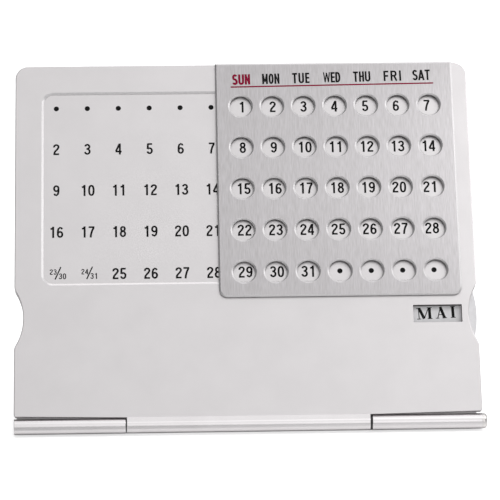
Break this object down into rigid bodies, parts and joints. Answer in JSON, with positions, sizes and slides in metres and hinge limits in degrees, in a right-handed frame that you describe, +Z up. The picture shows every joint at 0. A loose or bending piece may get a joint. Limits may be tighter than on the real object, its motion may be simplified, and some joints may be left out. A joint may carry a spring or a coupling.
{
  "type": "perpetual desk calendar",
  "caption": "Folding desk calendar: a hinged front panel with a printed date field, a sliding plate of weekday sight holes and a month dial behind a window.",
  "frame": {"origin": "on the desk surface, under the middle of the bounding box, with the calendar standing open", "axes": "+X to the viewer's right along the hinge pin, +Y to the back, over the base leaf, +Z up"},
  "size_m": [0.1212, 0.0912, 0.0892],
  "materials": {
    "satin_panel": "satin silver-white lacquer on aluminium sheet",
    "brushed_slider": "fine vertical brushing, clear anodised",
    "spring_steel": "bright rolled strip",
    "dial_plastic": "matt silver-grey",
    "black_plastic": "matt moulded",
    "glide_tape": "matt low-friction tape",
    "hinge_steel": "satin nickel plate",
    "screw_steel": "bright zinc plate",
    "foot_rubber": "matt",
    "ink_black": "screen-printed ink",
    "ink_red": "screen-printed ink"
  },
  "bodies": {
    "base": {"base_leaf": "satin_panel", "hinge_pin": "hinge_steel", "hinge_washer_left": "black_plastic", "hinge_washer_right": "black_plastic", "foot_front_left": "foot_rubber", "foot_front_right": "foot_rubber", "foot_rear_left": "foot_rubber", "foot_rear_right": "foot_rubber"},
    "panel": {"front_panel": "satin_panel", "spacer_frame": "black_plastic", "back_plate": "satin_panel", "back_screws": "screw_steel", "dial_pivot": "screw_steel", "dial_washer": "glide_tape"},
    "dial": {"month_dial": "dial_plastic"},
    "slider": {"slider_plate": "brushed_slider", "slider_hook_left": "spring_steel", "slider_hook_right": "spring_steel", "upper_glide": "glide_tape", "lower_glide": "glide_tape"}
  },
  "joints": [
    {"name": "panel_fold", "type": "hinge", "parent": "base", "child": "panel", "pos_m": [-0.0006, -0.04362, 0.0025], "axis": [1, 0, 0], "range_deg": [-60, 115]},
    {"name": "dial_turn", "type": "hinge", "parent": "panel", "child": "dial", "pos_m": [0.0343, -0.0297, 0.02731], "axis": [0, -0.866, 0.5], "continuous": true},
    {"name": "slider_slide", "type": "slide", "parent": "panel", "child": "slider", "axis": [1, 0, 0], "range_m": [-0.0492, 0]}
  ]
}
